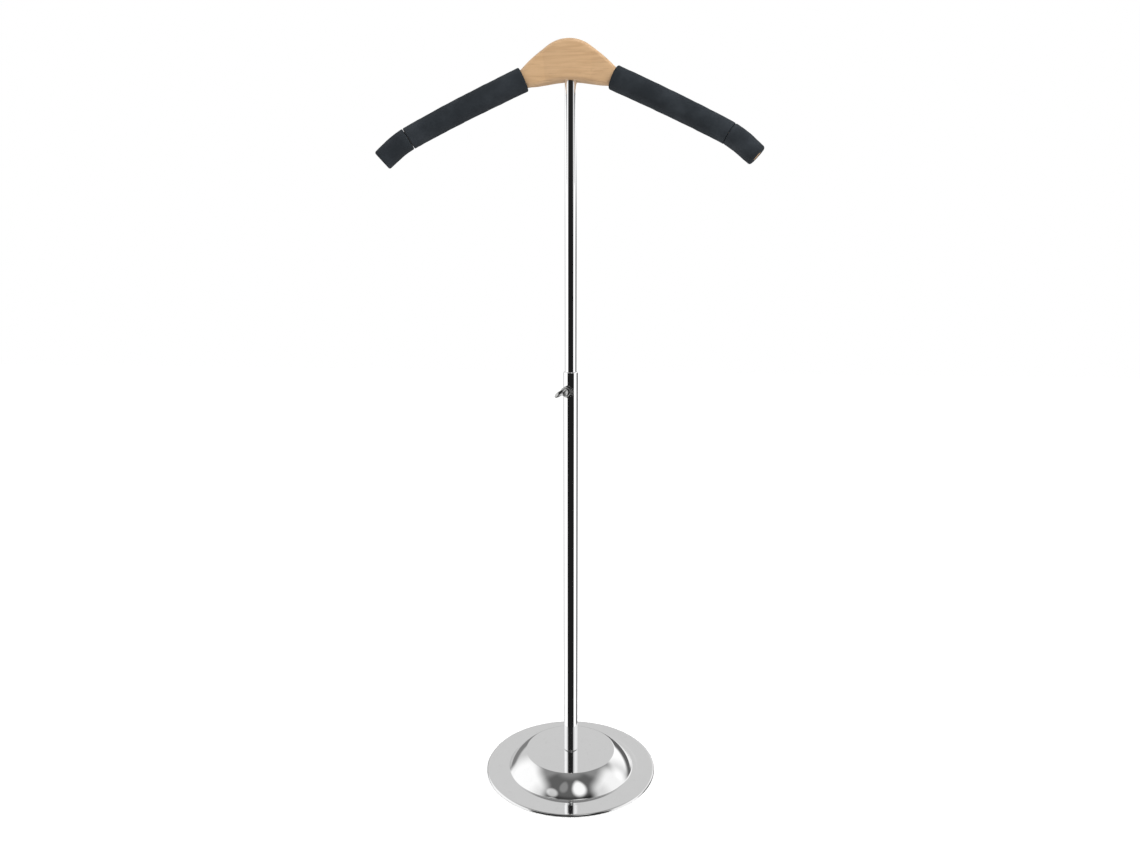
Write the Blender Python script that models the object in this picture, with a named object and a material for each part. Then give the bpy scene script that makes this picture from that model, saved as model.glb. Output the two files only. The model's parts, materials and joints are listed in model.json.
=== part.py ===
"""Garment display stand: a telescoping chromed pole on a stamped round base, with a wooden
shoulder head whose arms wear foam sleeves and foam end caps.

Blender 4.5, metres, +Z up. The origin is on the floor under the pole's axis, the arms lie
along X and bend forward, towards -Y.
"""

import math

import bmesh
import bpy
import numpy as np
from mathutils import Matrix, Vector

# ---- clearances -------------------------------------------------------------------------
GAP = 0.0003                 # between two pieces that touch
THREAD_GAP = 0.0003          # between a thread's bolt and its nut, on the radius
SLIDE_GAP = 0.0004           # between a sliding tube and what guides it, on the radius

# ---- base -------------------------------------------------------------------------------
BASE_RADIUS = 0.100
PAD_HEIGHT = 0.0015
PAD_INSET = 0.0035           # from the base's rim to the pad's edge
SHEET = 0.0012               # steel sheet of the stamped cover
RIM_ROUND = 0.0015           # outer radius where the rim turns down
RIM_DROP = 0.0022            # height of the turned-down rim
DOME_HEIGHT = 0.0202         # plateau above the flange
DOME_FOOT_RADIUS = 0.0735
PLATEAU_RADIUS = 0.0524
DOME_BULGE = math.radians(12)  # how far the dome's side turns away from a straight cone
CREASE_ROUND = 0.0025
FOOT_ROUND = 0.0016
BALLAST_RADIUS = 0.047
BALLAST_HEIGHT = 0.0095
BALLAST_BEVEL = 0.0015

# ---- fasteners under the base -------------------------------------------------------------
BOLT_RADIUS = 0.0039
BOLT_HEAD_FLATS = 0.0130
BOLT_HEAD_HEIGHT = 0.0053
BOLT_REACH = 0.0150          # how far the bolt goes into the tube's plug
FLAT_WASHER_RADIUS = 0.0120
FLAT_WASHER_HEIGHT = 0.0016
SPRING_WASHER_RADIUS = 0.0070
SPRING_WASHER_HEIGHT = 0.0021
SPRING_WASHER_SLOT = 0.0016

# ---- pole -------------------------------------------------------------------------------
LOWER_TUBE_RADIUS = 0.0080
LOWER_TUBE_WALL = 0.0010
LOWER_TUBE_LENGTH = 0.4545
MOUTH_ROUND = 0.0013
FOOT_CHAMFER = 0.0005
LOWER_PLUG_HEIGHT = 0.0200
UPPER_TUBE_RADIUS = 0.00635
UPPER_TUBE_WALL = 0.0009
UPPER_TUBE_LENGTH = 0.4500
UPPER_TUBE_SHOWN = 0.3043    # from the lower tube's mouth to the head's underside
UPPER_PLUG_HEIGHT = 0.0160
BUSH_COLLAR_HEIGHT = 0.0030
BUSH_SPIGOT_HEIGHT = 0.0120

# ---- clamp ------------------------------------------------------------------------------
SCREW_BELOW_MOUTH = 0.0214
SCREW_AZIMUTH = math.radians(-24)   # from straight forward, towards -X
SCREW_RADIUS = 0.00295
NUT_FLATS = 0.0110
NUT_HEIGHT = 0.0037          # from the tube's side to the nut's face
HUB_RADIUS = 0.0046
HUB_NECK = 0.0034
HUB_LENGTH = 0.0045
PADDLE_WIDTH = 0.0160
PADDLE_LENGTH = 0.0124
PADDLE_THICKNESS = 0.0036
PADDLE_END = 0.985           # share of its half length where the oval ends in a small flat
PADDLE_TURN = math.radians(38)      # of the paddle about the screw's axis at rest
TIP_RADIUS = 0.0024
TIP_LENGTH = 0.0014
TIP_SPIGOT_RADIUS = 0.0012
TIP_SPIGOT_LENGTH = 0.0020

# ---- wooden head ------------------------------------------------------------------------
HEAD_HEIGHT = 0.0413
HEAD_THICKNESS = 0.0210
HEAD_TOP_RADIUS = 0.0411
HEAD_TOP_SLOPE = math.radians(32.8)
HEAD_ARCH_RADIUS = 0.0832
HEAD_STRAIGHT = 0.90         # straight share of the way from the crown to the arm's root
HEAD_SQUARENESS = 4.0        # superellipse power of a section through the head
ARM_SQUARENESS = 2.3         # and through an arm
TUBE_SEAT_DEPTH = 0.0140
STUD_RADIUS = 0.0029
STUD_IN_WOOD = 0.0120
STUD_IN_PLUG = 0.0120
BEND_START = 0.0250          # distance from the pole where the arms turn forward
ARM_FORWARD = math.radians(11)
ARM_ROOT_X = 0.0472          # where the arm's own section starts, under the sleeve's edge
ARM_ROOT_DROP = 0.0395       # below the head's top
ARM_ROOT_SIZE = (0.0185, 0.0137)    # height and thickness of the wood
ARM_BEND_SIZE = (0.0162, 0.0127)
ARM_TIP_SIZE = (0.0160, 0.0121)
# Stretches of the arm's middle line: length, then downward slope at its start and its end.
ARM_STRETCHES = (
    (0.1280, math.radians(25.1), math.radians(28.1)),
    (0.0286, math.radians(28.1), math.radians(42.3)),
    (0.0144, math.radians(42.3), math.radians(42.3)),
)

# ---- foam -------------------------------------------------------------------------------
FOAM_WALL = 0.0030
FOAM_EDGE = 0.0014           # rounding of a foam piece's ends
SLEEVE_LENGTH = 0.1345
CAP_GAP = 0.0010
CAP_LENGTH = 0.0345

# ---- heights that follow ------------------------------------------------------------------
FLANGE_TOP = PAD_HEIGHT + GAP + SHEET
PLATEAU_TOP = FLANGE_TOP + DOME_HEIGHT
TUBE_FOOT = PLATEAU_TOP + GAP
MOUTH = TUBE_FOOT + LOWER_TUBE_LENGTH
SCREW_HEIGHT = MOUTH - SCREW_BELOW_MOUTH
HEAD_BOTTOM = MOUTH + UPPER_TUBE_SHOWN
HEAD_TOP = HEAD_BOTTOM + HEAD_HEIGHT
UPPER_TUBE_TOP = HEAD_BOTTOM + TUBE_SEAT_DEPTH - GAP
UPPER_TUBE_FOOT = UPPER_TUBE_TOP - UPPER_TUBE_LENGTH
LOWER_BORE = LOWER_TUBE_RADIUS - LOWER_TUBE_WALL
UPPER_BORE = UPPER_TUBE_RADIUS - UPPER_TUBE_WALL
NUT_BORE = SCREW_RADIUS + THREAD_GAP
NUT_FACE = LOWER_TUBE_RADIUS + NUT_HEIGHT

ROUND_SIDES = 32
BASE_SIDES = 48
WOOD_SIDES = 24
FOAM_SIDES = 20
FOAM_STEP = 0.013            # between two sections along a foam piece


# ---- scene and mesh helpers ----------------------------------------------------------------
def clear_scene():
    for old in list(bpy.data.objects):
        bpy.data.objects.remove(old, do_unlink=True)


def make_material(name, colour, roughness, metallic=0.0):
    material = bpy.data.materials.new(name)
    material.use_nodes = True
    shader = material.node_tree.nodes["Principled BSDF"]
    shader.inputs["Base Color"].default_value = (*colour, 1.0)
    shader.inputs["Roughness"].default_value = roughness
    shader.inputs["Metallic"].default_value = metallic
    return material


def add_piece(name, bm, colour, roughness, metallic=0.0, parent=None, sharp=35):
    """Turn a closed bmesh into a named object with its own material."""
    bmesh.ops.recalc_face_normals(bm, faces=bm.faces)
    mesh = bpy.data.meshes.new(name)
    bm.to_mesh(mesh)
    bm.free()
    mesh.shade_smooth()
    mesh.set_sharp_from_angle(angle=math.radians(sharp))
    piece = bpy.data.objects.new(name, mesh)
    bpy.context.collection.objects.link(piece)
    mesh.materials.append(make_material(name, colour, roughness, metallic))
    if parent is not None:
        piece.parent = parent
    return piece


def add_empty(name, place, turn=None):
    empty = bpy.data.objects.new(name, None)
    bpy.context.collection.objects.link(empty)
    empty.matrix_world = Matrix.Translation(place) @ (turn or Matrix.Identity(4))
    return empty


def turned(outline, sides=ROUND_SIDES):
    """Spin an outline of (radius, height) points about Z. An outline whose two ends lie on
    the axis makes a solid; any other is closed first and makes a ring or a tube."""
    bm = bmesh.new()
    points = [bm.verts.new((radius, 0.0, height)) for radius, height in outline]
    pairs = list(zip(points, points[1:]))
    if outline[0][0] > 0.0 or outline[-1][0] > 0.0:
        pairs.append((points[-1], points[0]))
    edges = [bm.edges.new(pair) for pair in pairs]
    bmesh.ops.spin(bm, geom=points + edges, cent=(0, 0, 0), axis=(0, 0, 1),
                   angle=math.tau, steps=sides)
    bmesh.ops.remove_doubles(bm, verts=bm.verts, dist=1e-6)
    return bm


def lofted(rings, closed=False):
    """Skin a list of equal rings. The two end rings are capped, or joined when closed."""
    bm = bmesh.new()
    loops = [[bm.verts.new(point) for point in ring] for ring in rings]
    sides = len(rings[0])
    spans = list(zip(loops, loops[1:]))
    if closed:
        spans.append((loops[-1], loops[0]))
    for first, second in spans:
        for i in range(sides):
            j = (i + 1) % sides
            bm.faces.new((first[i], first[j], second[j], second[i]))
    if not closed:
        bm.faces.new(loops[0])
        bm.faces.new(loops[-1])
    return bm


def cut(piece, cutter_bm, name, parent=None):
    """Subtract a closed shape with a live Boolean whose cutter stays hidden."""
    bmesh.ops.recalc_face_normals(cutter_bm, faces=cutter_bm.faces)
    mesh = bpy.data.meshes.new(name)
    cutter_bm.to_mesh(mesh)
    cutter_bm.free()
    cutter = bpy.data.objects.new(name, mesh)
    bpy.context.collection.objects.link(cutter)
    cutter.hide_render = True
    cutter.display_type = "WIRE"
    if parent is not None:
        cutter.parent = parent
    boolean = piece.modifiers.new(name, "BOOLEAN")
    boolean.operation = "DIFFERENCE"
    boolean.solver = "EXACT"
    boolean.object = cutter


def arc(centre, radius, start, end, steps):
    """Points of a circular arc, angles in radians from the first axis, both ends included."""
    angles = np.linspace(start, end, steps + 1)
    return [(centre[0] + radius * math.cos(a), centre[1] + radius * math.sin(a)) for a in angles]


def circle(radius, height, sides=WOOD_SIDES):
    angles = np.linspace(0.0, math.tau, sides, endpoint=False)
    return [(radius * math.cos(a), radius * math.sin(a), height) for a in angles]


def hexagon(flats, height, sides=WOOD_SIDES):
    """Ring on a hexagon whose corners point along +Y and -Y, with points on its corners."""
    ring = []
    for a in np.linspace(0.0, math.tau, sides, endpoint=False):
        off_flat = (a + math.pi / 6) % (math.pi / 3) - math.pi / 6
        radius = flats / 2 / math.cos(off_flat)
        ring.append((radius * math.cos(a), radius * math.sin(a), height))
    return ring


def tube_ring(outer, inner, bottom, top):
    return [(outer, bottom), (outer, top), (inner, top), (inner, bottom)]


# ---- base -------------------------------------------------------------------------------
def dome_outline():
    """The cover's upper surface from the centre hole to the lip of the rim, (radius, height).

    The side is an arc between the rounded crease of the plateau and the fillet at its foot.
    """
    run = DOME_FOOT_RADIUS - PLATEAU_RADIUS
    chord = math.hypot(run, DOME_HEIGHT)
    steepness = math.atan2(DOME_HEIGHT, run)
    top_slope = steepness - DOME_BULGE
    foot_slope = steepness + DOME_BULGE
    side_radius = chord / (2 * math.sin(DOME_BULGE))
    centre = (PLATEAU_RADIUS - side_radius * math.sin(top_slope),
              PLATEAU_TOP - side_radius * math.cos(top_slope))
    trim = CREASE_ROUND * math.tan(top_slope / 2)
    foot_trim = FOOT_ROUND * math.tan(foot_slope / 2)
    points = [(BOLT_RADIUS + THREAD_GAP, PLATEAU_TOP)]
    points += arc((PLATEAU_RADIUS - trim, PLATEAU_TOP - CREASE_ROUND), CREASE_ROUND,
                  math.pi / 2, math.pi / 2 - top_slope, 3)
    first = math.pi / 2 - top_slope - trim / side_radius
    last = math.pi / 2 - foot_slope + foot_trim / side_radius
    points += arc(centre, side_radius, first, last, 5)
    points += arc((DOME_FOOT_RADIUS + foot_trim, FLANGE_TOP + FOOT_ROUND), FOOT_ROUND,
                  -math.pi / 2 - foot_slope, -math.pi / 2, 3)
    points += arc((BASE_RADIUS - RIM_ROUND, FLANGE_TOP - RIM_ROUND), RIM_ROUND,
                  math.pi / 2, 0.0, 3)
    points.append((BASE_RADIUS, FLANGE_TOP - RIM_DROP))
    return points


def offset_inwards(points, distance):
    """The same outline moved by the sheet's thickness, towards the underside."""
    line = np.array(points)
    steps = np.diff(line, axis=0)
    steps /= np.linalg.norm(steps, axis=1)[:, None]
    before = np.vstack([steps[:1], steps])
    after = np.vstack([steps, steps[-1:]])
    middle = before + after
    middle /= np.linalg.norm(middle, axis=1)[:, None]
    share = np.einsum("ij,ij->i", middle, before)
    normal = np.stack([middle[:, 1], -middle[:, 0]], axis=1)
    return (line + normal * (distance / share)[:, None]).tolist()


def build_base():
    top_side = dome_outline()
    under_side = offset_inwards(top_side, SHEET)
    add_piece("base_cover", turned(top_side + under_side[::-1], BASE_SIDES),
              (0.60, 0.60, 0.60), 0.08, 1.0)

    pad_radius = BASE_RADIUS - PAD_INSET
    add_piece("base_pad", turned([(0, 0), (pad_radius, 0), (pad_radius, PAD_HEIGHT),
                                  (0, PAD_HEIGHT)], BASE_SIDES), (0.02, 0.02, 0.02), 0.9)

    ballast_top = PLATEAU_TOP - SHEET - GAP
    ballast_foot = ballast_top - BALLAST_HEIGHT
    bore = BOLT_RADIUS + THREAD_GAP
    edge = BALLAST_RADIUS - BALLAST_BEVEL
    add_piece("ballast_disc",
              turned([(bore, ballast_foot), (edge, ballast_foot),
                      (BALLAST_RADIUS, ballast_foot + BALLAST_BEVEL),
                      (BALLAST_RADIUS, ballast_top - BALLAST_BEVEL), (edge, ballast_top),
                      (bore, ballast_top)]), (0.10, 0.10, 0.10), 0.6, 1.0)

    washer_top = ballast_foot - GAP
    washer_foot = washer_top - FLAT_WASHER_HEIGHT
    add_piece("flat_washer", turned(tube_ring(FLAT_WASHER_RADIUS, bore, washer_foot,
                                              washer_top)), (0.55, 0.55, 0.52), 0.35, 1.0)

    spring_top = washer_foot - GAP
    spring_foot = spring_top - SPRING_WASHER_HEIGHT
    half_slot = SPRING_WASHER_SLOT / 2 / SPRING_WASHER_RADIUS
    sections = []
    for a in np.linspace(half_slot, math.tau - half_slot, ROUND_SIDES - 8):
        section = tube_ring(SPRING_WASHER_RADIUS, bore, spring_foot, spring_top)
        sections.append([(r * math.cos(a), r * math.sin(a), z) for r, z in section])
    add_piece("spring_washer", lofted(sections), (0.35, 0.35, 0.36), 0.4, 1.0)

    head_top = spring_foot - GAP
    shank_end = TUBE_FOOT + BOLT_REACH
    rings = [hexagon(BOLT_HEAD_FLATS, head_top - BOLT_HEAD_HEIGHT),
             hexagon(BOLT_HEAD_FLATS, head_top), circle(BOLT_RADIUS, head_top),
             circle(BOLT_RADIUS, shank_end)]
    add_piece("base_bolt", lofted(rings), (0.45, 0.45, 0.42), 0.35, 1.0)


# ---- pole -------------------------------------------------------------------------------
def build_lower_tube(screw_axis):
    lip = UPPER_TUBE_RADIUS + SLIDE_GAP
    outline = [(LOWER_BORE, TUBE_FOOT), (LOWER_TUBE_RADIUS - FOOT_CHAMFER, TUBE_FOOT),
               (LOWER_TUBE_RADIUS, TUBE_FOOT + FOOT_CHAMFER)]
    outline += arc((LOWER_TUBE_RADIUS - MOUTH_ROUND, MOUTH - MOUTH_ROUND), MOUTH_ROUND,
                   0.0, math.pi / 2, 4)
    outline += [(lip, MOUTH), (lip, MOUTH - LOWER_TUBE_WALL),
                (LOWER_BORE, MOUTH - 2 * LOWER_TUBE_WALL)]
    tube = add_piece("lower_tube", turned(outline), (0.62, 0.62, 0.62), 0.06, 1.0)
    hole = lofted([circle(NUT_BORE, UPPER_TUBE_RADIUS), circle(NUT_BORE, NUT_FACE)])
    cut(tube, hole, "screw_hole_cutter", screw_axis)

    plug_radius = LOWER_BORE - GAP
    plug_foot = TUBE_FOOT + GAP
    add_piece("lower_tube_plug",
              turned(tube_ring(plug_radius, BOLT_RADIUS + THREAD_GAP, plug_foot,
                               plug_foot + LOWER_PLUG_HEIGHT)), (0.45, 0.45, 0.42), 0.4, 1.0)


def build_clamp(screw_axis, tip_axis):
    """The welded nut, the thumb screw and its soft tip, along the screw axis' own Z."""
    nut = add_piece("clamp_nut",
                    lofted([hexagon(NUT_FLATS, UPPER_TUBE_RADIUS), hexagon(NUT_FLATS, NUT_FACE),
                            circle(NUT_BORE, NUT_FACE), circle(NUT_BORE, UPPER_TUBE_RADIUS)],
                           closed=True), (0.5, 0.5, 0.5), 0.15, 1.0, screw_axis)
    cope = turned([(0, MOUTH), (LOWER_TUBE_RADIUS + GAP, MOUTH),
                   (LOWER_TUBE_RADIUS + GAP, SCREW_HEIGHT - NUT_FLATS),
                   (0, SCREW_HEIGHT - NUT_FLATS)], 2 * ROUND_SIDES)
    cut(nut, cope, "nut_cope_cutter")

    tip_foot = UPPER_TUBE_RADIUS + GAP
    tip_head = tip_foot + TIP_LENGTH
    spigot_end = tip_head + TIP_SPIGOT_LENGTH
    add_piece("screw_tip",
              turned([(0, tip_foot), (TIP_RADIUS, tip_foot), (TIP_RADIUS, tip_head),
                      (TIP_SPIGOT_RADIUS, tip_head), (TIP_SPIGOT_RADIUS, spigot_end),
                      (0, spigot_end)], 20), (0.75, 0.73, 0.68), 0.5, 0.0, tip_axis)

    shank_foot = tip_head + GAP
    socket_radius = TIP_SPIGOT_RADIUS + GAP
    socket_end = spigot_end + GAP
    hub_foot = NUT_FACE + 2 * GAP
    hub_end = hub_foot + HUB_LENGTH
    stations = [(socket_radius, socket_radius, socket_end),
                (socket_radius, socket_radius, shank_foot),
                (SCREW_RADIUS, SCREW_RADIUS, shank_foot),
                (SCREW_RADIUS, SCREW_RADIUS, hub_foot), (HUB_RADIUS, HUB_RADIUS, hub_foot)]
    middle = hub_end + PADDLE_LENGTH / 2 - HUB_NECK / 3
    half_length = PADDLE_LENGTH / 2
    for along in np.linspace(hub_end, middle + PADDLE_END * half_length, 10):
        share = math.sqrt(1 - ((along - middle) / half_length) ** 2)
        stations.append((PADDLE_WIDTH / 2 * share, PADDLE_THICKNESS / 2 * min(1, 0.5 + share),
                         along))
    turn = Matrix.Rotation(PADDLE_TURN, 3, "Z")
    rings = []
    for half_width, half_thickness, along in stations:
        ring = circle(1.0, along)
        rings.append([turn @ Vector((x * half_width, y * half_thickness, z))
                      for x, y, z in ring])
    add_piece("thumb_screw", lofted(rings), (0.5, 0.5, 0.5), 0.15, 1.0, tip_axis)


def build_upper_tube(mast):
    """The sliding tube with its nylon foot bush and its threaded top plug."""
    lift = -mast.location.z
    add_piece("upper_tube",
              turned(tube_ring(UPPER_TUBE_RADIUS, UPPER_BORE, UPPER_TUBE_FOOT + lift,
                               UPPER_TUBE_TOP + lift)), (0.62, 0.62, 0.62), 0.06, 1.0, mast)
    collar_top = UPPER_TUBE_FOOT - GAP
    collar_foot = collar_top - BUSH_COLLAR_HEIGHT
    spigot_top = collar_top + BUSH_SPIGOT_HEIGHT
    spigot_radius = UPPER_BORE - GAP
    add_piece("slider_bush",
              turned([(0, collar_foot + lift), (LOWER_BORE - SLIDE_GAP, collar_foot + lift),
                      (LOWER_BORE - SLIDE_GAP, collar_top + lift),
                      (spigot_radius, collar_top + lift), (spigot_radius, spigot_top + lift),
                      (0, spigot_top + lift)]), (0.8, 0.8, 0.78), 0.5, 0.0, mast)
    plug_top = UPPER_TUBE_TOP - GAP
    add_piece("upper_tube_plug",
              turned(tube_ring(UPPER_BORE - GAP, STUD_RADIUS + THREAD_GAP,
                               plug_top - UPPER_PLUG_HEIGHT + lift, plug_top + lift)),
              (0.45, 0.45, 0.42), 0.4, 1.0, mast)
    seat = UPPER_TUBE_TOP + GAP + lift
    add_piece("hanger_stud",
              turned([(0, seat - STUD_IN_PLUG), (STUD_RADIUS, seat - STUD_IN_PLUG),
                      (STUD_RADIUS, seat + STUD_IN_WOOD - STUD_RADIUS),
                      (0, seat + STUD_IN_WOOD)]), (0.45, 0.45, 0.42), 0.4, 1.0, mast)


# ---- wooden head and foam -------------------------------------------------------------------
def arm_line(path):
    """Outward reach, height and slope of the arm's middle line after a given length.

    Each stretch is a circular arc, so its reach and drop are differences of sines and
    cosines of the slope, divided by its curvature.
    """
    reach = (ARM_ROOT_X - BEND_START) / math.cos(ARM_FORWARD)
    height = HEAD_TOP - ARM_ROOT_DROP
    slope = ARM_STRETCHES[0][1]
    for length, start, end in ARM_STRETCHES:
        inside = min(max(path, 0.0), length)
        curvature = (end - start) / length
        slope = start + curvature * inside
        if curvature:
            reach += (math.sin(slope) - math.sin(start)) / curvature
            height += (math.cos(slope) - math.cos(start)) / curvature
        else:
            reach += inside * math.cos(start)
            height -= inside * math.sin(start)
        path -= inside
    return reach, height, slope


def arm_size(path):
    """Height and thickness of the wood at a given length along the arm."""
    bend = ARM_STRETCHES[0][0] + ARM_STRETCHES[1][0]
    total = sum(stretch[0] for stretch in ARM_STRETCHES)
    share = np.interp(path, (0.0, bend, total), (0.0, 1.0, 2.0))
    sizes = np.array([ARM_ROOT_SIZE, ARM_BEND_SIZE, ARM_TIP_SIZE])
    return [float(np.interp(share, (0, 1, 2), sizes[:, i])) for i in (0, 1)]


def superellipse(angle, power):
    """Unit point of |u|^power + |v|^power = 1 at a given angle."""
    c, s = math.cos(angle), math.sin(angle)
    return (math.copysign(abs(c) ** (2 / power), c), math.copysign(abs(s) ** (2 / power), s))


def arm_ring(path, grow, sides, side, shrink=1.0):
    """A superellipse across the arm, grown outwards from the wood by a distance."""
    reach, height, slope = arm_line(path)
    tall, thick = arm_size(path)
    half_tall = (tall / 2 + grow) * shrink
    half_thick = (thick / 2 + grow) * shrink
    forward = Vector((side * math.cos(ARM_FORWARD), -math.sin(ARM_FORWARD), 0))
    across = Vector((side * math.sin(ARM_FORWARD), math.cos(ARM_FORWARD), 0))
    upward = Vector((0, 0, math.cos(slope))) + forward * math.sin(slope)
    centre = Vector((side * BEND_START, 0, height)) + forward * reach
    ring = []
    for a in np.linspace(0.0, math.tau, sides, endpoint=False):
        u, v = superellipse(a, ARM_SQUARENESS)
        ring.append(centre + across * u * half_thick + upward * v * half_tall)
    return ring


def head_top_height(x):
    """Height of the head's top edge: a round crown, a straight shoulder, then a hollow
    blend whose slope falls evenly to the arm's."""
    crown_end = HEAD_TOP_RADIUS * math.sin(HEAD_TOP_SLOPE)
    height = HEAD_TOP - HEAD_TOP_RADIUS * (1 - math.cos(HEAD_TOP_SLOPE))
    if x < crown_end:
        return HEAD_TOP - HEAD_TOP_RADIUS + math.sqrt(HEAD_TOP_RADIUS ** 2 - x * x)
    root = ARM_ROOT_X + ARM_ROOT_SIZE[0] / 2 * math.sin(ARM_STRETCHES[0][1])
    blend_start = crown_end + HEAD_STRAIGHT * (root - crown_end)
    height -= (min(x, blend_start) - crown_end) * math.tan(HEAD_TOP_SLOPE)
    if x > blend_start:
        part = (x - blend_start) / (root - blend_start)
        steep, mild = math.tan(HEAD_TOP_SLOPE), math.tan(ARM_STRETCHES[0][1])
        height -= (x - blend_start) * (steep + (mild - steep) * part / 2)
    return height


def head_ring(share, side):
    """A section of the head between its top edge and its arched underside. share runs from
    0 at the pole to 1 at the arm's root, where it meets the arm's own first section."""
    root = arm_ring(0.0, 0.0, WOOD_SIDES, side)
    quarter = WOOD_SIDES // 4
    root_top, root_bottom = root[quarter], root[3 * quarter]
    top_x, bottom_x = abs(root_top.x) * share, abs(root_bottom.x) * share
    top_miss = root_top.z - head_top_height(abs(root_top.x))
    top = head_top_height(top_x) + top_miss * share ** 3
    arch = HEAD_ARCH_RADIUS - math.sqrt(HEAD_ARCH_RADIUS ** 2 - bottom_x ** 2)
    full_arch = HEAD_ARCH_RADIUS - math.sqrt(HEAD_ARCH_RADIUS ** 2 - root_bottom.x ** 2)
    bottom_miss = root_bottom.z - (HEAD_BOTTOM - full_arch)
    bottom = HEAD_BOTTOM - arch + bottom_miss * share ** 3
    lead = max(0.0, ARM_ROOT_X * share - BEND_START) * math.tan(ARM_FORWARD)
    thick = HEAD_THICKNESS + (ARM_ROOT_SIZE[1] - HEAD_THICKNESS) * share ** 2
    squareness = HEAD_SQUARENESS + (ARM_SQUARENESS - HEAD_SQUARENESS) * share
    ring = []
    for a in np.linspace(0.0, math.tau, WOOD_SIDES, endpoint=False):
        u, v = superellipse(a, squareness)
        rise = (1 + v) / 2
        ring.append(Vector((side * (bottom_x + (top_x - bottom_x) * rise),
                            u * thick / 2 - lead, bottom + (top - bottom) * rise)))
    return ring


def build_head(mast):
    """The one-piece wooden head, from one arm's rounded tip to the other's."""
    total = sum(stretch[0] for stretch in ARM_STRETCHES)
    half = [head_ring(share, 1) for share in np.linspace(0.0, 1.0, 11)[1:-1]]
    half += [arm_ring(path, 0.0, WOOD_SIDES, 1) for path in np.linspace(0.0, total, 15)[:-1]]
    tip_radius = ARM_TIP_SIZE[1] / 3
    for turn in np.radians((0, 35, 65)):
        path = total - tip_radius * (1 - math.sin(turn))
        shrink = 1 - tip_radius * 2 * (1 - math.cos(turn)) / ARM_TIP_SIZE[0]
        half.append(arm_ring(path, 0.0, WOOD_SIDES, 1, shrink=shrink))
    other = [[Vector((-point.x, point.y, point.z)) for point in ring] for ring in half]
    rings = other[::-1] + [head_ring(0.0, 1)] + half
    lower = Vector((0, 0, -mast.location.z))
    rings = [[point + lower for point in ring] for ring in rings]
    head = add_piece("hanger_body", lofted(rings), (0.55, 0.37, 0.20), 0.45, 0.0, mast, 50)

    seat_top = HEAD_BOTTOM + TUBE_SEAT_DEPTH
    stud_top = UPPER_TUBE_TOP + 2 * GAP + STUD_IN_WOOD
    seat = turned([(0, HEAD_BOTTOM - HEAD_HEIGHT), (UPPER_TUBE_RADIUS + GAP,
                                                    HEAD_BOTTOM - HEAD_HEIGHT),
                   (UPPER_TUBE_RADIUS + GAP, seat_top), (STUD_RADIUS + GAP, seat_top),
                   (STUD_RADIUS + GAP, stud_top), (0, stud_top)])
    cut(head, seat, "tube_seat_cutter")


def build_foam(name, start, length, side, mast):
    """A foam tube pulled over an arm: an outer skin with rounded ends and an inner one."""
    end = start + length
    skin = GAP + FOAM_WALL
    steps = max(3, round(length / FOAM_STEP))
    stations = []
    for turn in np.radians((0, 45)):
        stations.append((start + FOAM_EDGE * (1 - math.cos(turn)),
                         skin - FOAM_EDGE * (1 - math.sin(turn))))
    stations += [(path, skin) for path in
                 np.linspace(start + FOAM_EDGE, end - FOAM_EDGE, steps + 1)]
    for turn in np.radians((45, 90)):
        stations.append((end - FOAM_EDGE * (1 - math.sin(turn)),
                         skin - FOAM_EDGE * (1 - math.cos(turn))))
    stations += [(path, GAP) for path in np.linspace(end, start, steps + 1)]
    lower = Vector((0, 0, -mast.location.z))
    rings = [[point + lower for point in arm_ring(path, grow, FOAM_SIDES, side)]
             for path, grow in stations]
    add_piece(name, lofted(rings, closed=True), (0.02, 0.022, 0.025), 0.85, 0.0, mast, 50)


def main():
    clear_scene()
    outward = Matrix.Rotation(SCREW_AZIMUTH, 4, "Z") @ Matrix.Rotation(math.pi / 2, 4, "X")
    screw_place = (0, 0, SCREW_HEIGHT)
    screw_axis = add_empty("screw_axis", screw_place, outward)
    tip_axis = add_empty("screw_travel_axis", screw_place, outward)
    mast = add_empty("mast_axis", (0, 0, UPPER_TUBE_FOOT))
    build_base()
    build_lower_tube(screw_axis)
    build_clamp(screw_axis, tip_axis)
    build_upper_tube(mast)
    build_head(mast)
    for side_name, side in (("left", -1), ("right", 1)):
        build_foam("foam_sleeve_" + side_name, 0.0, SLEEVE_LENGTH, side, mast)
        build_foam("foam_cap_" + side_name, SLEEVE_LENGTH + CAP_GAP, CAP_LENGTH, side, mast)


main()
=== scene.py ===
# %% [markdown]
# # Finishing a garment display stand
#
# The stand is a stamped, chromed base, two chromed tubes that telescope, a thumb screw that
# clamps them, and a wooden shoulder head with foam on its arms. Its engineering model already
# exists as plain faceted solids. This lesson gives each visible piece its fine surface, worked
# out with numpy from a formula, and a material built from shader nodes. Heights, radii and axes
# are read from the engineering model. What its boxes can't tell, such as the bulge of the dome,
# is a named value beside its piece.

# %% Load the engineering model
import json
import math

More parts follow.
